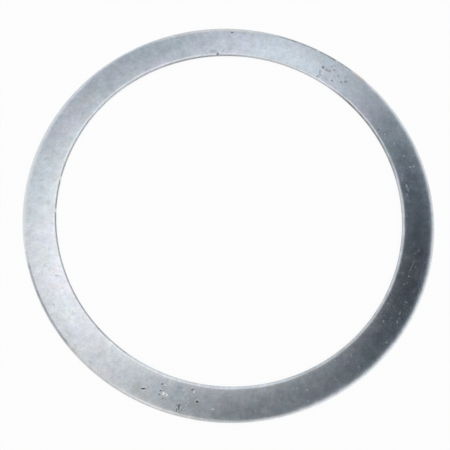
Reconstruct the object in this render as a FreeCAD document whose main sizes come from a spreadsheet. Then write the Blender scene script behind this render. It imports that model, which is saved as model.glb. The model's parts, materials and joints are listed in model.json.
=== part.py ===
"""Blanked shim ring, 160 x 190 x 1.5 mm, as a parametric document in millimetres.

The ring lies flat with its burr side on z = 0 and its axis on +Z. Its section is the one that a
compound blanking die leaves in sheet steel. Both edges of the upper face are drawn down in a shallow
roll-over, below it stands a straight burnished land, then the wall leans into the metal where it
broke away, and the lower corners are broken where the burr was taken off.
"""

import FreeCAD
import Part

import math
import os

import Sketcher

# Driving dimensions of the ring: alias, size in mm, what it is
DIMENSIONS = (
    ("bore_diameter", 160.0, "inside diameter over the burnished land"),
    ("outside_diameter", 190.0, "outside diameter over the burnished land"),
    ("thickness", 1.5, "height of the upper face over the lower face"),
    ("roll_width", 1.4, "how far the roll-over reaches in from each edge, seen from above"),
    ("roll_radius", 6.5, "radius of the shallow bend at the start of the roll-over"),
    ("corner_radius", 0.15, "radius that ends the roll-over on the land"),
    ("land_length", 0.5, "height of the straight burnished band"),
    ("fracture_draw", 0.08, "how far each wall leans into the metal below the land"),
    ("edge_break", 0.1, "width and height of the broken lower corners"),
)

# Ends of a line or an arc, as constraints name them
START = 1
END = 2

# The origin and the horizontal axis of a sketch, as constraints name them
ORIGIN_POINT = (-1, 1)
HORIZONTAL_AXIS = -1

OUTPUT_FOLDER = "parts"


def make_dimensions(document):
    """Write the driving dimensions to a sheet, one aliased cell for each."""
    sheet = document.addObject("Spreadsheet::Sheet", "dimensions")
    for row, (alias, size, meaning) in enumerate(DIMENSIONS, start=1):
        sheet.set(f"A{row}", meaning)
        sheet.set(f"B{row}", str(size))
        sheet.setAlias(f"B{row}", alias)
    document.recompute()
    return sheet


def origin_plane(body, role):
    """Return the origin plane of a body that has the given role."""
    for feature in body.Origin.OriginFeatures:
        if feature.Role == role:
            return feature
    raise ValueError(f"no origin plane {role} in {body.Label}")


def draw_section(sketch, sheet):
    """Draw the half section's twelve lines and arcs, anticlockwise from the lower face."""
    inner = sheet.bore_diameter / 2
    outer = sheet.outside_diameter / 2
    top = sheet.thickness
    width = sheet.roll_width
    draw = sheet.fracture_draw
    chamfer = sheet.edge_break
    roll = sheet.roll_radius
    corner = sheet.corner_radius

    # The bend and the corner meet where both have this slope
    slope = math.asin((width - corner) / (roll - corner))
    land_top = top - roll + (roll - corner) * math.cos(slope)
    land_foot = land_top - sheet.land_length

    def point(x, y):
        return FreeCAD.Vector(x, y, 0)

    def line(x1, y1, x2, y2):
        return Part.LineSegment(point(x1, y1), point(x2, y2))

    def arc(x, y, radius, first, last):
        circle = Part.Circle(point(x, y), FreeCAD.Vector(0, 0, 1), radius)
        return Part.ArcOfCircle(circle, first, last)

    quarter = math.pi / 2
    edges = {
        "lower_face": line(inner + draw + chamfer, 0, outer - draw - chamfer, 0),
        "outer_break": line(outer - draw - chamfer, 0, outer - draw, chamfer),
        "outer_fracture": line(outer - draw, chamfer, outer, land_foot),
        "outer_land": line(outer, land_foot, outer, land_top),
        "outer_corner": arc(outer - corner, land_top, corner, 0, quarter - slope),
        "outer_roll": arc(outer - width, top - roll, roll, quarter - slope, quarter),
        "upper_face": line(outer - width, top, inner + width, top),
        "inner_roll": arc(inner + width, top - roll, roll, quarter, quarter + slope),
        "inner_corner": arc(inner + corner, land_top, corner, quarter + slope, math.pi),
        "inner_land": line(inner, land_top, inner, land_foot),
        "inner_fracture": line(inner, land_foot, inner + draw, chamfer),
        "inner_break": line(inner + draw, chamfer, inner + draw + chamfer, 0),
    }
    return {name: sketch.addGeometry(edge, False) for name, edge in edges.items()}


def join_section(sketch, edge):
    """Close the section: smooth joints along both roll-overs, plain corners below them."""
    order = list(edge)
    smooth = order[order.index("outer_land"):order.index("inner_land")]
    for name, following in zip(order, order[1:] + order[:1]):
        kind = "Tangent" if name in smooth else "Coincident"
        sketch.addConstraint(Sketcher.Constraint(kind, edge[name], END, edge[following], START))
    sketch.addConstraint(Sketcher.Constraint("Horizontal", edge["lower_face"]))
    sketch.addConstraint(Sketcher.Constraint("Horizontal", edge["upper_face"]))
    sketch.addConstraint(Sketcher.Constraint("Vertical", edge["outer_land"]))
    sketch.addConstraint(Sketcher.Constraint("Vertical", edge["inner_land"]))
    sketch.addConstraint(
        Sketcher.Constraint("PointOnObject", edge["lower_face"], START, HORIZONTAL_AXIS)
    )
    sketch.addConstraint(Sketcher.Constraint("Equal", edge["outer_roll"], edge["inner_roll"]))
    sketch.addConstraint(Sketcher.Constraint("Equal", edge["outer_corner"], edge["inner_corner"]))
    sketch.addConstraint(Sketcher.Constraint("Equal", edge["outer_land"], edge["inner_land"]))


def size_section(sketch, sheet, edge):
    """Give the section its sizes, each bound to its cell of the sheet."""

    def bind(constraint, name, formula):
        """Add a constraint under a name and let a formula on the sheet's cells drive it."""
        sketch.renameConstraint(sketch.addConstraint(constraint), name)
        sketch.setExpression(f"Constraints.{name}", formula.format(sheet=sheet.Name))

    def across(name, first, last, formula):
        """Drive how far the last point lies outside the first, from the axis outwards."""
        size = sketch.getPoint(*last).x - sketch.getPoint(*first).x
        bind(Sketcher.Constraint("DistanceX", *first, *last, size), name, formula)

    def above(name, first, last, formula):
        """Drive how far the last point lies above the first."""
        size = sketch.getPoint(*last).y - sketch.getPoint(*first).y
        bind(Sketcher.Constraint("DistanceY", *first, *last, size), name, formula)

    def round_to(name, arc, formula):
        """Drive an arc's radius."""
        size = sketch.Geometry[arc].Radius
        bind(Sketcher.Constraint("Radius", arc, size), name, formula)

    rim_top = (edge["outer_land"], END)
    rim_foot = (edge["outer_land"], START)
    bore_top = (edge["inner_land"], START)
    bore_foot = (edge["inner_land"], END)
    across("outside_radius", ORIGIN_POINT, rim_top, "{sheet}.outside_diameter / 2")
    across("bore_radius", ORIGIN_POINT, bore_top, "{sheet}.bore_diameter / 2")
    above("thickness", ORIGIN_POINT, (edge["upper_face"], START), "{sheet}.thickness")
    above("land_length", rim_foot, rim_top, "{sheet}.land_length")

    round_to("roll_radius", edge["outer_roll"], "{sheet}.roll_radius")
    round_to("corner_radius", edge["outer_corner"], "{sheet}.corner_radius")
    across("outer_roll_width", (edge["upper_face"], START), rim_top, "{sheet}.roll_width")
    across("inner_roll_width", bore_top, (edge["upper_face"], END), "{sheet}.roll_width")

    outer_break = (edge["outer_break"], END)
    inner_break = (edge["inner_break"], START)
    across("outer_draw", outer_break, rim_foot, "{sheet}.fracture_draw")
    across("inner_draw", bore_foot, inner_break, "{sheet}.fracture_draw")

    outer_foot = (edge["lower_face"], END)
    inner_foot = (edge["lower_face"], START)
    across("outer_break_width", outer_foot, outer_break, "{sheet}.edge_break")
    above("outer_break_height", outer_foot, outer_break, "{sheet}.edge_break")
    across("inner_break_width", inner_break, inner_foot, "{sheet}.edge_break")
    above("inner_break_height", inner_foot, inner_break, "{sheet}.edge_break")


def make_shim_ring(document, sheet):
    """Turn the blanked section round the ring's axis into one solid."""
    body = document.addObject("PartDesign::Body", "shim_ring")
    body.Label = "shim_ring"
    section = body.newObject("Sketcher::SketchObject", "blanked_section")
    section.AttachmentSupport = (origin_plane(body, "XZ_Plane"), [""])
    section.MapMode = "FlatFace"
    edge = draw_section(section, sheet)
    join_section(section, edge)
    size_section(section, sheet, edge)
    document.recompute()
    if section.solve() != 0 or not section.FullyConstrained:
        raise ValueError("the blanked section has a size that nothing drives")

    ring = body.newObject("PartDesign::Revolution", "ring")
    ring.Profile = section
    ring.ReferenceAxis = (section, ["V_Axis"])
    ring.Angle = 360.0
    section.Visibility = False
    body.Tip = ring
    body.Placement = FreeCAD.Placement(FreeCAD.Vector(0, 0, 0), FreeCAD.Rotation())
    return body


def check_document(document, bodies):
    """Stop before anything is written if a feature or a solid is faulty."""
    for item in document.Objects:
        if "Invalid" in item.State or "Error" in item.State:
            raise ValueError(f"{item.Label} did not build")
    for body in bodies:
        if body.Shape.isNull() or not body.Shape.isValid():
            raise ValueError(f"{body.Label} is not a valid solid")


def main():
    """Build the ring, check it and write its solid."""
    document = FreeCAD.newDocument("shim_ring")
    sheet = make_dimensions(document)
    bodies = [make_shim_ring(document, sheet)]
    document.recompute()
    check_document(document, bodies)
    os.makedirs(OUTPUT_FOLDER, exist_ok=True)
    for body in bodies:
        body.Shape.exportStep(os.path.join(OUTPUT_FOLDER, f"{body.Label}.step"))
        box = body.Shape.optimalBoundingBox()
        print(
            f"{body.Label}: {body.Shape.Volume:.1f} mm3, {len(body.Shape.Faces)} faces, "
            f"{box.XLength:.2f} x {box.YLength:.2f} x {box.ZLength:.2f} mm"
        )


main()
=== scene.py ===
"""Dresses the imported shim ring: its finely turned mesh, its worn rolled steel and its studio."""

from __future__ import annotations

import json
import logging
import math
from dataclasses import dataclass
from enum import Enum
from typing import Any, ClassVar

import bmesh
import bpy
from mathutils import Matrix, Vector, kdtree, noise


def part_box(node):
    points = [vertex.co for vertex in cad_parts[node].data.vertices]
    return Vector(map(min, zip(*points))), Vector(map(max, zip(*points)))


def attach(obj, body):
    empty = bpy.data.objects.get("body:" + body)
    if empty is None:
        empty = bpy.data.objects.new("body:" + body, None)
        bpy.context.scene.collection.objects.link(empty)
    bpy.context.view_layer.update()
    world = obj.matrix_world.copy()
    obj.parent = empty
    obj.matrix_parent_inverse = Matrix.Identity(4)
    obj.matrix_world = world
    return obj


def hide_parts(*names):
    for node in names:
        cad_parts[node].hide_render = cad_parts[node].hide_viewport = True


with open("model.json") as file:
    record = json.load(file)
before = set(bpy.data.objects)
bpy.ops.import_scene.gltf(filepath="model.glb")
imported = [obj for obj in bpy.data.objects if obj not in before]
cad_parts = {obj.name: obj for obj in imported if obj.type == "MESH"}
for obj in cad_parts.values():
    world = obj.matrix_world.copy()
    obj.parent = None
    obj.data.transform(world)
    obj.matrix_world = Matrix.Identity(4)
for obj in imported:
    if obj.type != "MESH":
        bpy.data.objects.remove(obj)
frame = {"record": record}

MM = 0.001
LOG = logging.getLogger("shim_ring")

WHITE = (1.0, 1.0, 1.0, 1.0)
# The mesh's layers: dirt, dry and rust on the marks; along the edges the dirt and dry layers also hold
# painted shade and painted highlight
WEAR_AND_PAINTED_EDGE_LAYERS = ("dirt", "dry", "rust")

# Points nearer than this are one point
SEAM = 0.001 * MM

# A face whose normal rises less than this belongs to a wall
STEEP = 0.5

# Faces that meet at more than this have a sharp edge between them
SHARP_ANGLE = math.radians(30)

# Short names for the types
Mesh = bmesh.types.BMesh
Node = bpy.types.Node
Socket = bpy.types.NodeSocket
Tree = bpy.types.NodeTree
Colour = tuple[float, float, float, float]


def linear(hex_colour: str) -> Colour:
    """Turn an sRGB hex colour into the linear colour that a shader reads.

    Args:
        hex_colour: Six hex digits after a hash sign.

    Returns:
        Red, green, blue and an alpha of 1.
    """
    channels = [int(hex_colour[i : i + 2], 16) / 255 for i in (1, 3, 5)]
    red, green, blue = (c / 12.92 if c <= 0.04045 else ((c + 0.055) / 1.055) ** 2.4 for c in channels)
    return red, green, blue, 1.0


def ease(value: float, start: float, end: float) -> float:
    """Rise smoothly from 0 at the start to 1 at the end.

    Args:
        value: Where on the way.
        start: The value that gives 0.
        end: The value that gives 1; it may lie below the start.

    Returns:
        A share from 0 to 1.
    """
    share = min(max((value - start) / (end - start), 0.0), 1.0)
    return share * share * (3 - 2 * share)


def add_node(tree: Tree, kind: str, settings: dict[str, Any] | None = None, **inputs: Any) -> Node:
    """Add one node with its settings and its inputs.

    Args:
        tree: The node tree that gets the node.
        kind: The node's type name.
        settings: Properties of the node by name.
        **inputs: Values or sockets for the inputs, named in lower case with underscores, or as
            in_0, in_1 and so on where inputs share a name.

    Returns:
        The new node.
    """
    node = tree.nodes.new(kind)
    for name, value in (settings or {}).items():
        setattr(node, name, value)
    # Read backwards, so that the first of several inputs with one name is kept
    names = {socket.name.lower().replace(" ", "_"): socket for socket in reversed(node.inputs)}
    for name, value in inputs.items():
        socket = node.inputs[int(name[3:])] if name.startswith("in_") else names[name]
        if isinstance(value, Socket):
            tree.links.new(value, socket)
        else:
            socket.default_value = value
    return node


def calculate(tree: Tree, operation: str, *values: float | Socket) -> Socket:
    """Add a math node.

    Args:
        tree: The node tree that gets the node.
        operation: What it does.
        *values: Its inputs in order.

    Returns:
        Its result.
    """
    inputs = {f"in_{place}": value for place, value in enumerate(values)}
    return add_node(tree, "ShaderNodeMath", {"operation": operation}, **inputs).outputs[0]


def blend(tree: Tree, share: float | Socket, first: Colour | Socket, second: Colour | Socket) -> Socket:
    """Add a node that goes from the first colour to the second as the share goes from 0 to 1.

    Args:
        tree: The node tree that gets the node.
        share: The second colour's share.
        first: The colour at 0.
        second: The colour at 1.

    Returns:
        The blended colour.
    """
    settings = {"data_type": "RGBA"}
    return add_node(tree, "ShaderNodeMix", settings, in_0=share, in_6=first, in_7=second).outputs[2]


def remap(tree: Tree, value: Socket, start: float, end: float, low: float, high: float) -> Socket:
    """Add a node that stretches one range to another and holds its ends.

    Args:
        tree: The node tree that gets the node.
        value: What is stretched.
        start: The value that gives low.
        end: The value that gives high.
        low: The result at the start and below.
        high: The result at the end and above.

    Returns:
        The stretched value.
    """
    return add_node(
        tree, "ShaderNodeMapRange", value=value, from_min=start, from_max=end, to_min=low, to_max=high
    ).outputs[0]


def new_material(name: str) -> tuple[bpy.types.Material, Tree]:
    """Make a material with an empty node tree.

    Args:
        name: The material's name.

    Returns:
        The material and its tree.
    """
    material = bpy.data.materials.new(name)
    material.use_nodes = True
    material.node_tree.nodes.clear()
    return material, material.node_tree


@dataclass(frozen=True)
class Mottle:
    """A noise pattern that is fixed to the ring.

    Attributes:
        MIDDLE: The noise's mean.
        size_mm: The width of its blotches.
        detail: How many finer octaves it has.
        seed: A shift that tells this pattern from the others.
        reach: How far it is followed either way from its middle.
        depth: How much it lightens and darkens a colour, as a share.
        height_mm: How high it stands as relief.
        falloff: How strong each finer octave is against the one before it.
    """

    MIDDLE: ClassVar[float] = 0.5

    size_mm: float
    detail: float
    seed: float
    reach: float = 0.25
    depth: float = 0.0
    height_mm: float = 0.0
    falloff: float = 0.55

    def pattern(self, tree: Tree, place: Socket) -> Socket:
        """Add the pattern's noise.

        Args:
            tree: The node tree that gets it.
            place: Where on the ring, in metres.

        Returns:
            A value about the middle, mostly within 0.2 either way.
        """
        return add_node(
            tree,
            "ShaderNodeTexNoise",
            {"noise_dimensions": "4D"},
            vector=place,
            w=self.seed,
            scale=1 / (self.size_mm * MM),
            detail=self.detail,
            roughness=self.falloff,
        ).outputs["Fac"]

    def between(self, tree: Tree, pattern: Socket, low: float, high: float) -> Socket:
        """Stretch the pattern's reach to a range.

        Args:
            tree: The node tree that gets the node.
            pattern: The pattern's noise.
            low: The result where the pattern is lowest.
            high: The result where it is highest.

        Returns:
            The stretched pattern.
        """
        return remap(tree, pattern, self.MIDDLE - self.reach, self.MIDDLE + self.reach, low, high)

    def tone(self, tree: Tree, pattern: Socket) -> Socket:
        """Turn the pattern into a factor of about 1 that a colour takes."""
        return self.between(tree, pattern, 1 - self.depth, 1 + self.depth)

    def relief(self, tree: Tree, pattern: Socket, under: Socket | None = None) -> Socket:
        """Raise the pattern as relief.

        Args:
            tree: The node tree that gets the node.
            pattern: The pattern's noise.
            under: The normal that it is laid over, if any.

        Returns:
            The normal with the relief on it.
        """
        below = {} if under is None else {"normal": under}
        return add_node(
            tree, "ShaderNodeBump", strength=1.0, distance=self.height_mm * MM, height=pattern, **below
        ).outputs[0]


@dataclass(frozen=True)
class WornMetalAndPaintedEdges:
    """What wear and painted edge light do to a bare metal, read from the mesh: dirt, dry scuffs and a
    breath of rust. Along the edges the dirt layer also holds painted shade, and the dry layer painted
    highlight.

    Attributes:
        dirt: The colour of the dirt in pits, and of the painted shade along the edges.
        dry: The colour of metal that is scuffed dry, and of the painted highlight along the edges.
        rust: The colour of the brown film.
        dull: The roughness of metal that is wholly covered.
    """

    dirt: str = "#2B2D32"
    dry: str = "#EEF2F4"
    rust: str = "#A8937F"
    dull: float = 0.6

    def cover(
        self, tree: Tree, colour: Socket, roughness: Socket, normal: Socket, specks: Socket | None = None
    ) -> None:
        """Lay the wear and the painted edge light over the metal and finish the material.

        Args:
            tree: The material's tree.
            colour: The clean metal's colour.
            roughness: The clean metal's roughness.
            normal: The clean metal's normal.
            specks: More dry specks, from 0 to 1, if it has any.
        """
        # The dirt and dry layers hold real dirt and scuffs on the marks, and painted shade and painted
        # highlight along the edges
        dirt, dry, rust = (
            add_node(tree, "ShaderNodeAttribute", {"attribute_name": name}).outputs["Fac"]
            for name in WEAR_AND_PAINTED_EDGE_LAYERS
        )
        if specks is not None:
            dry = calculate(tree, "MAXIMUM", dry, specks)
        rusted = blend(tree, rust, colour, linear(self.rust))
        scuffed = blend(tree, dry, rusted, linear(self.dry))
        soiled_and_shaded = blend(tree, dirt, scuffed, linear(self.dirt))
        covered = calculate(tree, "MAXIMUM", dry, dirt)
        metallic = calculate(tree, "SUBTRACT", 1.0, covered)
        dulling = calculate(tree, "SUBTRACT", self.dull, roughness)
        # Squared, because a thin cover hardly dulls the metal
        thick = calculate(tree, "MULTIPLY", covered, covered)
        dulled = calculate(tree, "MULTIPLY_ADD", thick, dulling, roughness)
        surface = add_node(
            tree,
            "ShaderNodeBsdfPrincipled",
            base_color=soiled_and_shaded,
            metallic=metallic,
            roughness=dulled,
            normal=normal,
        )
        add_node(tree, "ShaderNodeOutputMaterial", surface=surface.outputs[0])


@dataclass(frozen=True)
class RolledSteel:
    """Bright cold-rolled sheet steel under a thin oily film.

    The rolls leave it softly glossy, so that it mirrors the room in blurred shapes. The film and
    the handling cloud it in patches, with a breath of green, blue and violet.

    Attributes:
        name: The material's name.
        base: The steel's colour between the tinted patches.
        greenish: Its colour in one kind of wide patch.
        violet: Its colour in the other kind.
        yellowish: The film's colour in one kind of small fleck.
        bluish: The film's colour in the other kind.
        fleck_share: How strongly the flecks show.
        roughness: How blurred the mirrored room is.
        gloss_spread: How much the clouds change the roughness either way.
        tint: The wide patches.
        cloud: The clouds of the oily film.
        speckle: The mottling that is a few millimetres wide.
        grain: The finest mottling.
        sway: The slow waves that the rolls left.
        fleck: The small flecks.
        speck: The dry specks.
        speck_start: The noise above which a dry speck begins.
        speck_full: The noise at which it is full.
        speck_dry: How dry a full speck is.
    """

    name: str = "cold_rolled_steel"
    base: str = "#D2D6DD"
    greenish: str = "#CED7DC"
    violet: str = "#D6D5E0"
    yellowish: str = "#D9D6CB"
    bluish: str = "#C9D8EA"
    fleck_share: float = 0.3
    roughness: float = 0.18
    gloss_spread: float = 0.0125
    tint: Mottle = Mottle(14.0, detail=2.0, seed=1.0, reach=0.16)
    cloud: Mottle = Mottle(5.0, detail=4.0, seed=2.0, reach=0.25, depth=0.1)
    speckle: Mottle = Mottle(1.8, detail=3.0, seed=3.0, reach=0.3, depth=0.14, height_mm=0.0022)
    grain: Mottle = Mottle(0.5, detail=2.0, seed=4.0, reach=0.3, depth=0.15, height_mm=0.0022)
    sway: Mottle = Mottle(11.0, detail=1.0, seed=5.0, height_mm=0.012)
    fleck: Mottle = Mottle(3.0, detail=2.0, seed=7.0, reach=0.25)
    speck: Mottle = Mottle(0.9, detail=1.0, seed=6.0)
    speck_start: float = 0.64
    speck_full: float = 0.78
    speck_dry: float = 0.3

    def tinted(self, tree: Tree, place: Socket) -> Socket:
        """Tint the steel in wide patches and in small flecks.

        Args:
            tree: The material's tree.
            place: Where on the ring.

        Returns:
            The tinted colour.
        """
        ramp = add_node(tree, "ShaderNodeValToRGB", fac=self.tint.pattern(tree, place))
        stops = ramp.color_ramp.elements
        stops[0].position, stops[0].color = self.tint.MIDDLE - self.tint.reach, linear(self.greenish)
        stops[1].position, stops[1].color = self.tint.MIDDLE + self.tint.reach, linear(self.violet)
        middle = stops.new(self.tint.MIDDLE)
        middle.color = linear(self.base)
        fleck = self.fleck.between(tree, self.fleck.pattern(tree, place), 0.0, 1.0)
        flecked = blend(tree, fleck, linear(self.yellowish), linear(self.bluish))
        return blend(tree, self.fleck_share, ramp.outputs[0], flecked)

    def material(self) -> bpy.types.Material:
        """Build the finish: tinted clouds in colour and gloss over a fine grain.

        Returns:
            The finished material.
        """
        material, tree = new_material(self.name)
        place = add_node(tree, "ShaderNodeTexCoord").outputs["Object"]
        cloud = self.cloud.pattern(tree, place)
        speckle = self.speckle.pattern(tree, place)
        grain = self.grain.pattern(tree, place)
        coarse = calculate(tree, "MULTIPLY", self.cloud.tone(tree, cloud), self.speckle.tone(tree, speckle))
        tone = calculate(tree, "MULTIPLY", coarse, self.grain.tone(tree, grain))
        colour = add_node(
            tree, "ShaderNodeVectorMath", {"operation": "SCALE"}, in_0=self.tinted(tree, place), scale=tone
        ).outputs[0]
        gloss = self.cloud.between(
            tree, cloud, self.roughness - self.gloss_spread, self.roughness + self.gloss_spread
        )
        normal = self.sway.relief(tree, self.sway.pattern(tree, place))
        normal = self.speckle.relief(tree, speckle, normal)
        normal = self.grain.relief(tree, grain, normal)
        speck = self.speck.pattern(tree, place)
        specks = remap(tree, speck, self.speck_start, self.speck_full, 0.0, self.speck_dry)
        WornMetalAndPaintedEdges().cover(tree, colour, gloss, normal, specks)
        return material


@dataclass(frozen=True)
class ShearedSteel:
    """The wall that the die cut: duller than the sheet, drawn in fine upright streaks.

    Attributes:
        name: The material's name.
        light: The colour of its lightest streaks.
        dark: The colour of its darkest streaks.
        roughness: How blurred the mirrored room is.
        gloss_spread: How much the streaks change the roughness either way.
        streak: The streaks, before they are drawn out.
        draw: How far they are drawn out upright: the smaller, the longer.
    """

    name: str = "sheared_steel"
    light: str = "#CBCDD0"
    dark: str = "#AFB2B6"
    roughness: float = 0.36
    gloss_spread: float = 0.05
    streak: Mottle = Mottle(0.35, detail=2.0, seed=1.0, reach=0.2, height_mm=0.01)
    draw: float = 0.06

    def material(self) -> bpy.types.Material:
        """Build the finish: streaks in colour and relief that run the way the punch went.

        Returns:
            The finished material.
        """
        material, tree = new_material(self.name)
        place = add_node(tree, "ShaderNodeTexCoord").outputs["Object"]
        drawn = add_node(tree, "ShaderNodeMapping", vector=place, scale=(1.0, 1.0, self.draw)).outputs[0]
        streak = self.streak.pattern(tree, drawn)
        share = self.streak.between(tree, streak, 0.0, 1.0)
        colour = blend(tree, share, linear(self.dark), linear(self.light))
        gloss = self.streak.between(
            tree, streak, self.roughness + self.gloss_spread, self.roughness - self.gloss_spread
        )
        WornMetalAndPaintedEdges().cover(tree, colour, gloss, self.streak.relief(tree, streak))
        return material


@dataclass(frozen=True)
class Look:
    """How a flaw looks.

    Attributes:
        depth: How deep its middle lies, in mm.
        dirt: How much dark dirt it holds.
        dry: How much it is scuffed to dry pale metal.
        rust: How brown it is.
    """

    depth: float = 0.0
    dirt: float = 0.0
    dry: float = 0.0
    rust: float = 0.0


class Flaw(Enum):
    """The kinds of flaw that the sheet has."""

    PIT = Look(depth=0.05, dirt=0.95)
    DENT = Look(depth=0.02, dirt=0.3)
    # Pale scuffed metal in a small dent; the pale also stands in for the glint that the dent's slope
    # catches, a painted highlight
    SCUFF_AND_GLINT = Look(depth=0.05, dry=0.5)
    RUB = Look(dry=0.3)
    FILM = Look(dirt=0.1, rust=0.3)
    STAIN = Look(dirt=0.3)


@dataclass(frozen=True)
class Mark:
    """One flaw of the upper face: an oval with a ragged rim.

    Attributes:
        RAGGED: How uneven the rim is, against the mark's half size.
        RAGGED_MM: How long that unevenness is.
        flaw: What kind it is.
        bearing: Where round the ring, in degrees clockwise from the far side as seen from above.
        radius: Its distance from the axis, in mm.
        length: Its long way, in mm.
        width: Its narrow way, in mm.
        turn: Its long way's angle to the ring's run, in degrees, outwards as the bearing grows.
        strength: How marked it is.
    """

    RAGGED: ClassVar[float] = 0.3
    RAGGED_MM: ClassVar[float] = 0.5

    flaw: Flaw
    bearing: float
    radius: float
    length: float
    width: float
    turn: float = 0.0
    strength: float = 1.0

    def centre(self, height: float) -> Vector:
        """Return its middle, in metres, at a height in mm."""
        angle = math.radians(self.bearing)
        return Vector((self.radius * math.sin(angle), self.radius * math.cos(angle), height)) * MM

    def distance(self, point: Vector) -> float:
        """Tell how far out a point lies.

        Args:
            point: A place on the ring, in metres.

        Returns:
            0 at the mark's middle and about 1 on its ragged rim.
        """
        angle = math.radians(self.bearing - self.turn)
        offset = (point - self.centre(point.z / MM)) / MM
        along = (offset.x * math.cos(angle) - offset.y * math.sin(angle)) / (self.length / 2)
        across = (offset.x * math.sin(angle) + offset.y * math.cos(angle)) / (self.width / 2)
        ragged = self.RAGGED * noise.noise(point / (self.RAGGED_MM * MM))
        return math.hypot(along, across) + ragged


@dataclass(frozen=True)
class Strip:
    """A strip along the bore or the rim, in mm from that edge.

    Attributes:
        at_bore: Whether it runs along the bore; otherwise it runs along the rim.
        fade: Where it is gone, and where on the way back to the edge it is full.
        rise: Where it starts, and where it is full; by default outside the metal, so that the
            strip is full at the edge itself.
        lowest: The height that it reaches down to.
    """

    at_bore: bool
    fade: tuple[float, float]
    rise: tuple[float, float] = (-2.0, -1.0)
    lowest: float = 0.5

    def share(self, distance: float, height: float) -> float:
        """Tell how far a point belongs to the strip.

        Args:
            distance: How far from the edge it lies, in mm.
            height: Its height, in mm.

        Returns:
            A share from 0 to 1.
        """
        if height < self.lowest or distance > self.fade[0]:
            return 0.0
        return ease(distance, *self.fade) * ease(distance, *self.rise)


class Edge(Enum):
    """The strips of the two edges that the painted stretches lie in: mostly painted shade and painted
    highlight.
    """

    BORE_WALL = Strip(at_bore=True, fade=(0.1, 0.09), lowest=0.0)
    BORE_LINE = Strip(at_bore=True, fade=(0.7, 0.4))
    BORE_ROLL = Strip(at_bore=True, fade=(1.4, 0.8))
    RIM_LINE = Strip(at_bore=False, fade=(1.3, 0.9), rise=(0.2, 0.5))
    RIM_ROLL = Strip(at_bore=False, fade=(2.6, 0.6))
    RIM_BAND = Strip(at_bore=False, fade=(1.8, 1.3))


@dataclass(frozen=True)
class Band:
    """A stretch of an edge painted darker, paler or browner than the rest: mostly painted shade and painted
    highlight, in place of what the edge mirrors.

    Attributes:
        edge: Which strip of which edge.
        start: The bearing it starts at, in degrees clockwise from the far side.
        end: The bearing it ends at; past 360 where it crosses the far side.
        dirt: How dark it is.
        dry: How pale it is.
        rust: How brown it is.
        fade: How long its ends fade, in degrees.
    """

    edge: Edge
    start: float
    end: float
    dirt: float = 0.0
    dry: float = 0.0
    rust: float = 0.0
    fade: float = 1.0

    def share(self, bearing: float) -> float:
        """Tell how much of the band a bearing gets.

        Args:
            bearing: In degrees clockwise from the far side.

        Returns:
            A share from 0 to 1.
        """
        inside = (bearing - self.start) % 360
        span = self.end - self.start
        if inside > span:
            return 0.0
        return ease(min(inside, span - inside), 0.0, self.fade)


# The far side, from the left to the right
FAR_MARKS = (
    Mark(Flaw.DENT, 350.8, 85.6, 1.0, 0.7, strength=0.5),
    Mark(Flaw.SCUFF_AND_GLINT, 354.5, 84.3, 1.7, 0.7, turn=-13, strength=1.1),
    Mark(Flaw.FILM, 354.7, 82.3, 4.8, 2.0, turn=-4, strength=0.6),
    Mark(Flaw.DENT, 355.4, 87.7, 1.0, 0.8, strength=0.6),
    Mark(Flaw.PIT, 356.1, 80.6, 1.4, 1.2, turn=-90, strength=0.8),
    Mark(Flaw.SCUFF_AND_GLINT, 357.0, 81.0, 1.0, 0.9, strength=1.2),
    Mark(Flaw.RUB, 357.3, 82.3, 2.4, 0.5, turn=54, strength=1.6),
    Mark(Flaw.DENT, 358.1, 82.4, 2.7, 0.5, turn=54, strength=0.8),
    Mark(Flaw.RUB, 358.8, 82.8, 1.8, 0.5, turn=54, strength=1.2),
    Mark(Flaw.DENT, 0.3, 83.3, 1.8, 0.8, strength=0.4),
    Mark(Flaw.RUB, 1.1, 91.3, 0.9, 0.7, strength=1.3),
    Mark(Flaw.PIT, 1.2, 92.7, 1.2, 1.0, strength=0.9),
    Mark(Flaw.DENT, 1.9, 92.8, 0.9, 0.6, strength=0.8),
    Mark(Flaw.DENT, 3.9, 90.4, 1.2, 0.7, strength=0.4),
    Mark(Flaw.DENT, 5.3, 90.6, 0.9, 0.7, strength=0.4),
)

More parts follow.
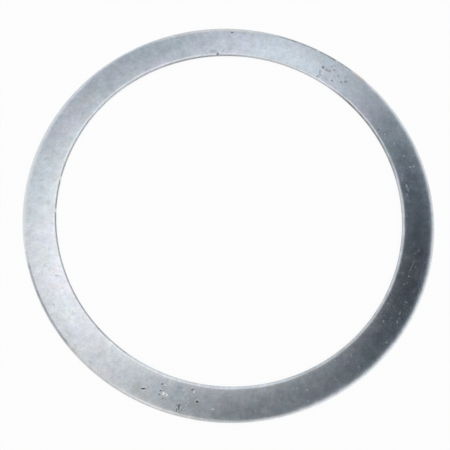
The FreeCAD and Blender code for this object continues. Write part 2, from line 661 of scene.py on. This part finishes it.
# Between the far side and the right: a crack from the bore, and a cluster of dents behind it
CRACK_MARKS = (
    Mark(Flaw.DENT, 30.8, 89.3, 3.3, 0.5, turn=-25, strength=0.6),
    Mark(Flaw.SCUFF_AND_GLINT, 29.8, 93.1, 0.8, 0.7, strength=0.6),
    Mark(Flaw.PIT, 32.5, 87.3, 1.6, 1.3, turn=-61, strength=0.7),
    Mark(Flaw.DENT, 32.4, 84.5, 1.9, 0.9, turn=-79, strength=1.3),
    Mark(Flaw.DENT, 32.8, 83.2, 1.7, 0.7, turn=-51, strength=0.9),
    Mark(Flaw.FILM, 33.2, 83.0, 0.9, 0.8, strength=1.8),
    Mark(Flaw.PIT, 32.6, 81.7, 2.4, 0.6, turn=62, strength=0.5),
    Mark(Flaw.SCUFF_AND_GLINT, 33.4, 81.2, 1.8, 0.6, turn=13, strength=0.7),
    Mark(Flaw.DENT, 34.1, 87.0, 1.7, 1.4, turn=10, strength=1.3),
    Mark(Flaw.DENT, 35.0, 87.3, 1.8, 1.4, turn=20, strength=1.4),
    Mark(Flaw.DENT, 36.1, 89.3, 1.9, 1.4, turn=37, strength=1.4),
    Mark(Flaw.DENT, 34.7, 90.2, 1.4, 1.2, strength=0.9),
    Mark(Flaw.DENT, 35.6, 91.5, 1.1, 0.9, strength=0.6),
    Mark(Flaw.DENT, 37.6, 83.6, 1.6, 1.4, strength=1.3),
    Mark(Flaw.DENT, 37.2, 86.2, 1.3, 1.0, strength=0.7),
    Mark(Flaw.DENT, 38.3, 87.6, 2.2, 1.2, turn=-60, strength=0.9),
    Mark(Flaw.DENT, 40.4, 85.9, 1.7, 1.4, strength=1.3),
    Mark(Flaw.DENT, 41.4, 87.6, 2.1, 1.3, turn=23, strength=1.5),
    Mark(Flaw.FILM, 35.6, 82.6, 3.4, 1.6, strength=0.6),
)

# The right, where the steel mirrors the dark and every scuff shows pale
RIGHT_MARKS = (
    Mark(Flaw.STAIN, 60.8, 82.6, 1.2, 1.1, strength=3.0),
    Mark(Flaw.RUB, 63.2, 84.1, 1.0, 0.9, strength=1.1),
    Mark(Flaw.RUB, 72.3, 87.5, 1.1, 1.0, strength=0.85),
    Mark(Flaw.RUB, 76.3, 88.4, 1.2, 1.1, strength=0.85),
    Mark(Flaw.RUB, 76.4, 90.0, 1.1, 1.0, strength=0.85),
    Mark(Flaw.RUB, 79.2, 82.7, 0.8, 0.7, strength=0.85),
    Mark(Flaw.RUB, 80.2, 82.5, 0.8, 0.7, strength=0.85),
    Mark(Flaw.RUB, 82.4, 84.0, 2.5, 0.7, turn=-3, strength=0.9),
    Mark(Flaw.RUB, 83.7, 84.3, 2.2, 0.6, turn=22, strength=0.85),
    Mark(Flaw.RUB, 85.2, 83.3, 0.9, 0.8, strength=0.85),
    Mark(Flaw.RUB, 108.4, 86.6, 7.6, 0.6, turn=-12, strength=0.35),
)

# The near side left of its middle: the deepest pits, a crushed spot and a comb of scratches
NEAR_MARKS = (
    Mark(Flaw.RUB, 186.1, 89.8, 2.0, 0.8, turn=5, strength=1.0),
    Mark(Flaw.STAIN, 187.8, 90.4, 2.6, 1.0, turn=5, strength=0.5),
    Mark(Flaw.PIT, 190.5, 87.6, 1.6, 1.3, turn=10),
    Mark(Flaw.STAIN, 188.8, 92.1, 6.5, 1.2, turn=5, strength=0.8),
    Mark(Flaw.PIT, 192.5, 83.1, 1.4, 1.2, turn=12, strength=0.8),
    Mark(Flaw.SCUFF_AND_GLINT, 192.0, 83.8, 0.8, 0.7, turn=11, strength=0.9),
    Mark(Flaw.RUB, 193.3, 86.9, 1.1, 0.9, strength=0.7),
    Mark(Flaw.DENT, 193.3, 89.2, 1.4, 1.0, turn=12, strength=1.5),
    Mark(Flaw.RUB, 193.0, 88.4, 1.0, 0.6, strength=0.7),
    Mark(Flaw.DENT, 193.4, 92.0, 1.5, 0.7, turn=-76, strength=1.8),
    Mark(Flaw.DENT, 194.1, 92.0, 1.8, 0.7, turn=-76, strength=1.8),
    Mark(Flaw.RUB, 194.6, 91.7, 1.6, 0.6, turn=-73, strength=0.9),
    Mark(Flaw.PIT, 195.1, 91.3, 2.8, 1.0, turn=-75, strength=0.85),
    Mark(Flaw.STAIN, 195.3, 90.6, 2.6, 1.1, turn=20, strength=2.4),
    Mark(Flaw.DENT, 195.4, 92.6, 1.7, 0.7, turn=-74, strength=2.2),
    Mark(Flaw.RUB, 194.9, 84.2, 0.9, 0.7, strength=1.0),
    Mark(Flaw.STAIN, 196.2, 83.6, 3.3, 1.1, turn=14, strength=1.2),
    Mark(Flaw.DENT, 198.8, 88.3, 0.7, 0.6, turn=18, strength=1.3),
    Mark(Flaw.SCUFF_AND_GLINT, 199.2, 88.1, 1.0, 0.7, turn=18, strength=1.5),
    Mark(Flaw.SCUFF_AND_GLINT, 200.2, 88.0, 1.2, 0.9, turn=19, strength=1.8),
    Mark(Flaw.PIT, 201.1, 87.2, 1.4, 1.0, turn=20, strength=0.8),
    Mark(Flaw.PIT, 201.1, 88.9, 1.1, 1.0, turn=20, strength=0.7),
    Mark(Flaw.DENT, 199.8, 90.0, 1.5, 1.0, turn=19, strength=1.8),
    Mark(Flaw.DENT, 200.3, 90.6, 0.9, 0.8, strength=0.8),
    Mark(Flaw.PIT, 201.4, 84.5, 1.4, 1.2, turn=21, strength=0.65),
    Mark(Flaw.RUB, 200.6, 84.4, 1.6, 0.6, turn=-16, strength=1.6),
    Mark(Flaw.PIT, 205.8, 89.3, 2.4, 0.8, turn=25),
    Mark(Flaw.RUB, 205.8, 88.4, 2.6, 0.6, turn=25, strength=0.9),
    Mark(Flaw.RUB, 205.7, 90.2, 2.2, 0.5, turn=25, strength=0.8),
)

# The left: faint smudges and scratches on the brightest steel
LEFT_MARKS = (
    Mark(Flaw.DENT, 221.5, 92.7, 3.1, 1.2, turn=-2, strength=0.4),
    Mark(Flaw.RUB, 222.2, 87.3, 6.5, 0.5, turn=34, strength=0.6),
    Mark(Flaw.DENT, 227.6, 92.5, 1.4, 1.1, strength=0.4),
    Mark(Flaw.DENT, 231.4, 91.5, 3.6, 1.2, turn=-7, strength=0.35),
    Mark(Flaw.DENT, 235.4, 84.9, 2.8, 0.8, turn=-14, strength=0.35),
    Mark(Flaw.DENT, 240.7, 90.2, 0.9, 0.8, strength=1.0),
    Mark(Flaw.DENT, 248.1, 84.0, 3.1, 0.8, turn=61, strength=0.7),
    Mark(Flaw.DENT, 252.1, 87.5, 2.1, 0.6, turn=53, strength=0.6),
    Mark(Flaw.DENT, 257.8, 88.4, 4.4, 0.7, turn=84, strength=0.3),
    Mark(Flaw.DENT, 265.1, 81.8, 1.5, 0.6, turn=16, strength=0.4),
    Mark(Flaw.DENT, 267.4, 82.0, 1.7, 0.6, turn=32, strength=0.4),
    Mark(Flaw.DENT, 280.0, 82.4, 5.9, 0.6, turn=-38, strength=0.4),
    Mark(Flaw.DENT, 278.9, 88.3, 2.5, 0.9, turn=-69, strength=0.5),
    Mark(Flaw.DENT, 282.8, 88.5, 4.7, 0.9, turn=-45, strength=0.4),
    Mark(Flaw.DENT, 285.7, 89.7, 4.1, 0.9, turn=-45, strength=0.4),
)

MARKS = FAR_MARKS + CRACK_MARKS + RIGHT_MARKS + NEAR_MARKS + LEFT_MARKS

# The stretches of the bore, then those of the rim, painted darker or paler than the rest: mostly painted
# shade and painted highlight, in place of what the edges mirror
PAINTED_EDGE_STRETCHES = (
    # Painted shade: the bore's wall darker at the far side and on the right, with its line and roll-over
    # there
    Band(Edge.BORE_WALL, 333.0, 368.0, dirt=0.3, fade=8.0),
    Band(Edge.BORE_WALL, 36.0, 84.0, dirt=0.25, fade=10.0),
    Band(Edge.BORE_LINE, 36.0, 84.0, dirt=0.5, fade=10.0),
    Band(Edge.BORE_ROLL, 60.0, 170.0, dirt=0.2, fade=14.0),
    Band(Edge.BORE_WALL, 84.0, 165.0, dirt=0.15, fade=10.0),
    # Painted highlight: the bore's wall paler on the left
    Band(Edge.BORE_WALL, 225.0, 326.0, dry=0.7, fade=8.0),
    # Painted shade: the bore's line darker on the left, broken by two short painted highlights
    Band(Edge.BORE_LINE, 215.0, 268.6, dirt=0.25, fade=0.6),
    Band(Edge.BORE_LINE, 268.4, 270.2, dry=0.8, fade=0.5),
    Band(Edge.BORE_LINE, 270.0, 279.8, dirt=0.25, fade=0.6),
    Band(Edge.BORE_LINE, 279.6, 281.4, dry=0.8, fade=0.5),
    Band(Edge.BORE_LINE, 281.0, 300.0, dirt=0.15, fade=1.0),
    # A darker line along the rim's corner right of the far side, broken in places, with browner bits at its
    # end
    Band(Edge.RIM_LINE, 12.0, 27.0, dirt=0.4, fade=6.0),
    Band(Edge.RIM_LINE, 23.0, 28.3, dirt=0.45, fade=0.5),
    Band(Edge.RIM_LINE, 28.7, 34.9, dirt=0.6, fade=0.5),
    Band(Edge.RIM_LINE, 35.1, 38.2, dirt=0.2, rust=0.4, fade=0.5),
    Band(Edge.RIM_LINE, 37.4, 40.9, dirt=0.45),
    Band(Edge.RIM_ROLL, 40.5, 46.0, dry=0.2, rust=0.5, fade=1.5),
    # Painted highlight: the rim's roll-over paler on the right and the near side
    Band(Edge.RIM_ROLL, 45.0, 172.0, dry=0.33, fade=14.0),
    # Painted shade: the rim's line darker on the near left
    Band(Edge.RIM_LINE, 176.0, 228.0, dirt=0.12, fade=10.0),
    Band(Edge.RIM_LINE, 226.0, 258.0, dirt=0.4, fade=6.0),
    # Painted highlight: the rim's roll-over paler on the near left
    Band(Edge.RIM_ROLL, 196.0, 228.0, dry=0.2, fade=8.0),
    # Painted highlight: the rim paler on the left and at the far side, tinted brown
    Band(Edge.RIM_BAND, 258.0, 318.0, dry=0.45, rust=0.1, fade=8.0),
    Band(Edge.RIM_BAND, 334.0, 374.0, dry=0.45, rust=0.35, fade=8.0),
)


class SectionPen:
    """Draws a section in the plane through X and the axis, one line or arc after another."""

    def __init__(self, mesh: Mesh, x: float, z: float) -> None:
        """Put the pen down.

        Args:
            mesh: The mesh that gets the section.
            x: Distance from the axis, in mm.
            z: Height, in mm.
        """
        self.mesh = mesh
        self.tip = mesh.verts.new((x * MM, 0, z * MM))

    def line(self, x: float, z: float, cuts: int = 0) -> None:
        """Draw a line to a point.

        Args:
            x: Distance from the axis, in mm.
            z: Height, in mm.
            cuts: How many evenly spaced points the line gets between its ends.
        """
        step = (Vector((x * MM, 0, z * MM)) - self.tip.co) / (cuts + 1)
        for _ in range(cuts + 1):
            self.tip = bmesh.ops.extrude_vert_indiv(self.mesh, verts=[self.tip])["verts"][0]
            bmesh.ops.translate(self.mesh, verts=[self.tip], vec=step)

    def arc(self, x: float, z: float, turn: float, steps: int) -> None:
        """Draw an arc about a centre.

        Args:
            x: The centre's distance from the axis, in mm.
            z: The centre's height, in mm.
            turn: The angle, anticlockwise as seen from the near side, in radians.
            steps: How many chords the arc has.
        """
        turned = bmesh.ops.spin(
            self.mesh,
            geom=[self.tip],
            cent=(x * MM, 0, z * MM),
            axis=(0, -1, 0),
            dvec=(0, 0, 0),
            angle=turn,
            steps=steps,
            use_merge=False,
        )
        self.tip = next(item for item in turned["geom_last"] if isinstance(item, bmesh.types.BMVert))


@dataclass
class ShimRing:
    """The ring, in mm: the section that a blanking die leaves, turned round the axis.

    Attributes:
        bore_radius: The radius of the bore's straight land.
        outside_radius: The radius of the rim's straight land.
        thickness: From face to face.
        roll_width: How wide the upper edges roll over.
        roll_radius: The bend of the roll-over.
        corner_radius: The corner between the roll-over and the land.
        land_length: How long the straight land is.
        fracture_draw: How far the broken wall leans in below the land.
        edge_break: How much the lower corners are broken.
        crown: How far the upper face falls from its middle to its edges.
        droop: How much the edges' fall varies.
        droop_run: How long the droop's waves are.
        sectors: How many equal sectors the ring is put together from.
        steps: How many steps it has all the way round.
        upper_cuts: How many points the flat of the upper face has between its ends.
        lower_cuts: How many points the lower face has between its ends.
        roll_chords: How many chords each roll-over has.
        corner_chords: How many chords each corner has.
    """

    bore_radius: float
    outside_radius: float
    thickness: float
    roll_width: float = 1.4
    roll_radius: float = 6.5
    corner_radius: float = 0.15
    land_length: float = 0.5
    fracture_draw: float = 0.08
    edge_break: float = 0.1
    crown: float = 0.11
    droop: float = 0.03
    droop_run: float = 7.0
    sectors: int = 20
    steps: int = 720
    upper_cuts: int = 17
    lower_cuts: int = 5
    roll_chords: int = 8
    corner_chords: int = 5

    @classmethod
    def from_frame(cls, record: dict[str, Any]) -> ShimRing:
        """Read the ring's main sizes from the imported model.

        Args:
            record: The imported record.

        Returns:
            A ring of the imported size.
        """
        radii = {mount["name"]: mount["dims"].get("r_mm") for mount in record["mounts"]}
        low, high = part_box("shim_ring")
        return cls(radii["bore"], radii["rim"], (high.z - low.z) / MM)

    @property
    def slope(self) -> float:
        """How steep the roll-over gets before the corner takes over, in radians."""
        return math.asin((self.roll_width - self.corner_radius) / (self.roll_radius - self.corner_radius))

    @property
    def land_top(self) -> float:
        """The height that the straight land ends at, in mm."""
        reach = (self.roll_radius - self.corner_radius) * math.cos(self.slope)
        return self.thickness - self.roll_radius + reach

    def draw_section(self, mesh: Mesh) -> None:
        """Draw the closed section, anticlockwise from the lower face's inner end.

        Args:
            mesh: The mesh that gets the section.
        """
        corner_turn = math.pi / 2 - self.slope
        land_foot = self.land_top - self.land_length
        roll_centre = self.thickness - self.roll_radius
        inner, outer = self.bore_radius, self.outside_radius
        inset = self.fracture_draw + self.edge_break
        pen = SectionPen(mesh, inner + inset, 0)
        pen.line(outer - inset, 0, cuts=self.lower_cuts)
        pen.line(outer - self.fracture_draw, self.edge_break)
        pen.line(outer, land_foot)
        pen.line(outer, self.land_top)
        pen.arc(outer - self.corner_radius, self.land_top, corner_turn, self.corner_chords)
        pen.arc(outer - self.roll_width, roll_centre, self.slope, self.roll_chords)
        pen.line(inner + self.roll_width, self.thickness, cuts=self.upper_cuts)
        pen.arc(inner + self.roll_width, roll_centre, self.slope, self.roll_chords)
        pen.arc(inner + self.corner_radius, self.land_top, corner_turn, self.corner_chords)
        pen.line(inner, land_foot)
        pen.line(inner + self.fracture_draw, self.edge_break)
        pen.line(inner + inset, 0)

    def turn_section(self, mesh: Mesh) -> None:
        """Turn the section round the axis: one sector in fine steps, then copies of it.

        Args:
            mesh: The mesh with the section in it.
        """
        sector = math.tau / self.sectors
        around = {"cent": (0, 0, 0), "axis": (0, 0, 1), "dvec": (0, 0, 0)}
        bmesh.ops.remove_doubles(mesh, verts=mesh.verts[:], dist=SEAM)
        section = mesh.verts[:] + mesh.edges[:]
        bmesh.ops.spin(mesh, geom=section, angle=sector, steps=self.steps // self.sectors, **around)
        piece = mesh.verts[:] + mesh.edges[:] + mesh.faces[:]
        rest = self.sectors - 1
        bmesh.ops.spin(mesh, geom=piece, angle=sector * rest, steps=rest, use_duplicate=True, **around)
        bmesh.ops.remove_doubles(mesh, verts=mesh.verts[:], dist=SEAM)
        bmesh.ops.recalc_face_normals(mesh, faces=mesh.faces[:])

    def crown_face(self, mesh: Mesh) -> None:
        """Let the upper face fall a little to both edges, and the edges droop unevenly.

        Args:
            mesh: The ring.
        """
        middle = (self.bore_radius + self.outside_radius) / 2
        half = (self.outside_radius - self.bore_radius) / 2
        for point in mesh.verts:
            off = abs(point.co.xy.length / MM - middle) / half
            edge = ease(off, 1 - self.roll_width / half, 1.0)
            uneven = self.droop * edge * noise.noise(point.co / (self.droop_run * MM))
            point.co.z *= 1 - (self.crown * off**2 + uneven) / self.thickness

    def edge_shares(self, point: Vector) -> dict[Edge, float]:
        """Tell which edges a point belongs to.

        Args:
            point: A place on the ring, in metres.

        Returns:
            Its share in each edge, from 0 to 1.
        """
        radius, height = point.xy.length / MM, point.z / MM
        from_bore, from_rim = radius - self.bore_radius, self.outside_radius - radius
        return {
            edge: edge.value.share(from_bore if edge.value.at_bore else from_rim, height) for edge in Edge
        }


class MarksAndPaintedEdges:
    """Works the marks into the ring's mesh, and paints its edges darker and paler, mostly as painted shade
    and painted highlight.

    Attributes:
        REACHES: How far out each round of splitting goes, against a mark's half length.
        SPARE: How much farther it may go across a mark.
        MARGIN: What the search adds for a face's own width, in mm.
        LIP: How high the lip round a mark stands, against the mark's depth.
        LIP_PLACE: How far out the lip lies, against the mark's size.
        LIP_WIDTH: How wide it is, against the mark's size.
        COVER: Where a mark's dirt has faded out and where it is full, against the mark's size.
        RAGGED: How unevenly the worn edges are worn.
        RAGGED_RUN: How long that unevenness is, in mm.
    """

    REACHES = (2.0, 1.5, 1.1)
    SPARE = 1.5
    MARGIN = 0.2
    LIP = 0.2
    LIP_PLACE = 1.2
    LIP_WIDTH = 0.2
    COVER = (1.2, 0.5)
    RAGGED = 0.5
    RAGGED_RUN = 3.0

    def __init__(self, ring: ShimRing, mesh: Mesh) -> None:
        """Take a ring and its mesh.

        Args:
            ring: The ring's sizes.
            mesh: The ring's mesh.
        """
        self.ring = ring
        self.mesh = mesh

    def refine(self) -> None:
        """Split the upper face into ever smaller faces near the marks."""
        for reach in self.REACHES:
            faces = [face for face in self.mesh.faces if face.normal.z > STEEP]
            tree = kdtree.KDTree(len(faces))
            for index, face in enumerate(faces):
                tree.insert(face.calc_center_median(), index)
            tree.balance()
            edges = {}
            for mark in MARKS:
                span = (mark.length / 2 * reach + self.MARGIN) * MM
                for _, index, _ in tree.find_range(mark.centre(self.ring.thickness), span):
                    away = mark.distance(faces[index].calc_center_median())
                    if away < reach * self.SPARE:
                        edges.update(dict.fromkeys(faces[index].edges))
            bmesh.ops.subdivide_edges(self.mesh, edges=list(edges), cuts=1, use_grid_fill=True)

    def press(self) -> None:
        """Press the marks into the upper face and write how dirty, dry and brown they are."""
        layers = [self.mesh.verts.layers.float.new(name) for name in WEAR_AND_PAINTED_EDGE_LAYERS]
        points = [point for point in self.mesh.verts if point.co.z > self.ring.land_top * MM]
        tree = kdtree.KDTree(len(points))
        for index, point in enumerate(points):
            tree.insert(point.co, index)
        tree.balance()
        for mark in MARKS:
            look = mark.flaw.value
            for _, index, _ in tree.find_range(mark.centre(self.ring.thickness), mark.length * MM):
                point = points[index]
                away = mark.distance(point.co)
                bowl = max(1 - away * away, 0.0) ** 2
                lip = self.LIP * math.exp(-(((away - self.LIP_PLACE) / self.LIP_WIDTH) ** 2))
                point.co.z -= look.depth * mark.strength * (bowl - lip) * MM
                cover = ease(away, *self.COVER) * mark.strength
                for layer, amount in zip(layers, (look.dirt, look.dry, look.rust)):
                    point[layer] = max(point[layer], min(amount * cover, 1.0))

    def paint_edge_stretches(self) -> None:
        """Paint the edge stretches into the dirt, dry and rust layers: mostly painted shade and painted
        highlight, with some brown.
        """
        layers = [self.mesh.verts.layers.float[name] for name in WEAR_AND_PAINTED_EDGE_LAYERS]
        for point in self.mesh.verts:
            shares = self.ring.edge_shares(point.co)
            if not any(shares.values()):
                continue
            bearing = math.degrees(math.atan2(point.co.x, point.co.y)) % 360
            ragged = 1 + self.RAGGED * noise.noise(point.co / (self.RAGGED_RUN * MM))
            for band in PAINTED_EDGE_STRETCHES:
                cover = shares[band.edge] * band.share(bearing) * ragged
                for layer, amount in zip(layers, (band.dirt, band.dry, band.rust)):
                    point[layer] = max(point[layer], min(amount * cover, 1.0))


def build_ring(ring: ShimRing, sheet: bpy.types.Material, sheared: bpy.types.Material) -> bpy.types.Object:
    """Build the worn ring and dress it.

    Args:
        ring: The ring's sizes.
        sheet: The finish of the two faces and the roll-overs.
        sheared: The finish of the walls.

    Returns:
        The ring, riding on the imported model's body and standing for its node.
    """
    mesh = bmesh.new()
    ring.draw_section(mesh)
    ring.turn_section(mesh)
    ring.crown_face(mesh)
    wear = MarksAndPaintedEdges(ring, mesh)
    wear.refine()
    wear.press()
    # Painted shade and painted highlight along the edges, with a few browner bits
    wear.paint_edge_stretches()
    mesh.normal_update()
    for face in mesh.faces:
        face.smooth = True
        face.material_index = int(abs(face.normal.z) < STEEP)
    data = bpy.data.meshes.new("shim_ring_surface")
    mesh.to_mesh(data)
    mesh.free()
    data.set_sharp_from_angle(angle=SHARP_ANGLE)
    data.materials.append(sheet)
    data.materials.append(sheared)
    piece = bpy.data.objects.new("shim_ring_surface", data)
    bpy.context.scene.collection.objects.link(piece)
    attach(piece, "root")
    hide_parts("shim_ring")
    return piece


@dataclass(frozen=True)
class SoftPatch:
    """A round patch of the room, lighter or darker than the rest, that the steel mirrors.

    Attributes:
        right: How far right of straight up it lies, per unit of height.
        far: How far towards the far side it lies, per unit of height.
        spread: How wide it is, in degrees.
        strength: How much light it adds in its middle; a negative one takes light away.
        warmth: How much more red and less blue it has.
    """

    right: float
    far: float
    spread: float
    strength: float
    warmth: float = 0.0

    def glow(self, tree: Tree, direction: Socket) -> Socket:
        """Work out the patch's light in the world's nodes.

        Args:
            tree: The world's node tree.
            direction: The direction that a ray looks in.

        Returns:
            The patch's share of the colour in that direction.
        """
        sharpness = 1 / math.radians(self.spread) ** 2
        axis = Vector((self.right, self.far, 1.0)).normalized()
        aim = add_node(
            tree, "ShaderNodeVectorMath", {"operation": "DOT_PRODUCT"}, in_0=direction, in_1=axis
        ).outputs["Value"]
        fall = calculate(tree, "EXPONENT", calculate(tree, "MULTIPLY_ADD", aim, sharpness, -sharpness))
        tint = [self.strength * (1 + self.warmth * side) for side in (1, 0, -1)]
        return add_node(
            tree, "ShaderNodeVectorMath", {"operation": "SCALE"}, in_0=tint, scale=fall
        ).outputs["Vector"]


# The big soft light overhead, which makes the left of the ring bright
LAMP = SoftPatch(-0.012, 0.22, 10.32, 2.405, 0.044)

# The dark that the right of the ring mirrors
SHADE = SoftPatch(0.234, 0.224, 15.86, -1.969, 0.023)

# A small light that brightens the far side, right of its middle
FAR_LAMP = SoftPatch(0.153, 0.542, 4.39, 0.855, -0.028)

# A broad dimming of the far side, left of its middle
FAR_SHADE = SoftPatch(-0.161, 0.471, 14.63, -1.042, 0.049)

# A small dimming nearly straight overhead, which the near side mirrors
NEAR_SHADE = SoftPatch(-0.008, 0.055, 6.8, -0.85, 0.073)

# A broad dimming low on the near left
LOW_SHADE = SoftPatch(-0.259, -0.298, 19.78, -0.955, -0.026)

# A small light within it, for the pale line along the rim at the near left
NEAR_GLOW = SoftPatch(-0.145, -0.173, 4.89, 1.189, 0.074)


@dataclass
class Studio:
    """A pale floor, a white backdrop, soft overhead lights and the camera, in mm and degrees.

    Attributes:
        camera_place: Where the camera stands.
        camera_tilt: How far from straight down it looks, towards the far side.
        camera_swing: How far it looks to the left; a negative one looks to the right.
        camera_lens: Its focal length, in mm.
        floor_radius: The floor's size.
        floor_gap: How far under the ring it lies.
        floor_sides: How many sides its outline has.
        floor_glow: How much of it is seen as plain white; the rest is lit and takes the shadow.
        paper: The floor's colour.
        horizon: The room's colour low down.
        ceiling: The room's colour overhead.
        horizon_height: The height, as a sine, up to which the room has the horizon's colour.
        ceiling_height: The height from which it has the ceiling's colour.
        patches: The lighter and darker patches of the room.
    """

    camera_place: tuple[float, float, float] = (-18.7, -92.7, 290.3)
    camera_tilt: float = 16.344
    camera_swing: float = -2.964
    camera_lens: float = 52.6
    floor_radius: float = 3000.0
    floor_gap: float = 0.02
    floor_sides: int = 64
    floor_glow: float = 0.9
    paper: str = "#F4F4F4"
    horizon: Colour = (0.75, 0.76, 0.78, 1.0)
    ceiling: Colour = (1.595, 1.6, 1.6, 1.0)
    horizon_height: float = 0.35
    ceiling_height: float = 0.85
    patches: tuple[SoftPatch, ...] = (
        LAMP,
        SHADE,
        FAR_LAMP,
        FAR_SHADE,
        NEAR_SHADE,
        LOW_SHADE,
        NEAR_GLOW,
    )

    def add_world(self) -> None:
        """Light the ring from a pale room with a few soft patches overhead."""
        world = bpy.data.worlds.new("studio")
        bpy.context.scene.world = world
        world.use_nodes = True
        tree = world.node_tree
        tree.nodes.clear()
        direction = add_node(tree, "ShaderNodeTexCoord").outputs["Generated"]
        height = add_node(tree, "ShaderNodeSeparateXYZ", vector=direction).outputs["Z"]
        risen = add_node(
            tree,
            "ShaderNodeMapRange",
            {"interpolation_type": "SMOOTHSTEP"},
            value=height,
            from_min=self.horizon_height,
            from_max=self.ceiling_height,
        ).outputs[0]
        light = blend(tree, risen, self.horizon, self.ceiling)
        for patch in self.patches:
            share = patch.glow(tree, direction)
            light = add_node(
                tree, "ShaderNodeVectorMath", {"operation": "ADD"}, in_0=light, in_1=share
            ).outputs["Vector"]
        kept = add_node(
            tree, "ShaderNodeVectorMath", {"operation": "MAXIMUM"}, in_0=light, in_1=(0.0, 0.0, 0.0)
        ).outputs["Vector"]
        seen = add_node(tree, "ShaderNodeLightPath").outputs["Is Camera Ray"]
        shown = blend(tree, seen, kept, WHITE)
        background = add_node(tree, "ShaderNodeBackground", color=shown, strength=1.0)
        add_node(tree, "ShaderNodeOutputWorld", surface=background.outputs[0])

    def add_floor(self) -> bpy.types.Object:
        """Lay a white round floor just under the ring that shows its shadow faintly.

        Returns:
            The floor.
        """
        material, tree = new_material("white_paper")
        path = add_node(tree, "ShaderNodeLightPath")
        seen = calculate(tree, "MAXIMUM", path.outputs["Is Camera Ray"], path.outputs["Is Glossy Ray"])
        share = calculate(tree, "MULTIPLY", seen, self.floor_glow)
        paper = add_node(tree, "ShaderNodeBsdfDiffuse", color=linear(self.paper)).outputs[0]
        shine = add_node(tree, "ShaderNodeEmission", color=WHITE, strength=1.0).outputs[0]
        mixed = add_node(tree, "ShaderNodeMixShader", fac=share, in_1=paper, in_2=shine).outputs[0]
        add_node(tree, "ShaderNodeOutputMaterial", surface=mixed)
        mesh = bmesh.new()
        bmesh.ops.create_circle(
            mesh, cap_ends=True, radius=self.floor_radius * MM, segments=self.floor_sides
        )
        bmesh.ops.translate(mesh, verts=mesh.verts[:], vec=(0, 0, -self.floor_gap * MM))
        data = bpy.data.meshes.new("floor")
        mesh.to_mesh(data)
        mesh.free()
        data.materials.append(material)
        floor = bpy.data.objects.new("floor", data)
        bpy.context.scene.collection.objects.link(floor)
        return floor

    def add_camera(self) -> bpy.types.Object:
        """Put the camera where the photograph was taken from.

        Returns:
            The camera.
        """
        data = bpy.data.cameras.new("camera")
        data.lens = self.camera_lens
        data.clip_start = 1 * MM
        camera = bpy.data.objects.new("camera", data)
        camera.rotation_mode = "ZYX"
        camera.rotation_euler = (math.radians(self.camera_tilt), math.radians(self.camera_swing), 0.0)
        camera.location = [place * MM for place in self.camera_place]
        bpy.context.scene.collection.objects.link(camera)
        bpy.context.scene.camera = camera
        return camera


def main() -> None:
    """Build the studio and the ring, and report each piece."""
    logging.basicConfig(level=logging.INFO, format="%(message)s")
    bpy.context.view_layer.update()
    studio = Studio()
    studio.add_camera()
    studio.add_world()
    studio.add_floor()
    ring = ShimRing.from_frame(frame["record"])
    piece = build_ring(ring, RolledSteel().material(), ShearedSteel().material())
    LOG.info("%s: %d faces", piece.name, len(piece.data.polygons))
    bpy.context.scene.view_settings.view_transform = "Standard"


if __name__ == "__main__":
    main()
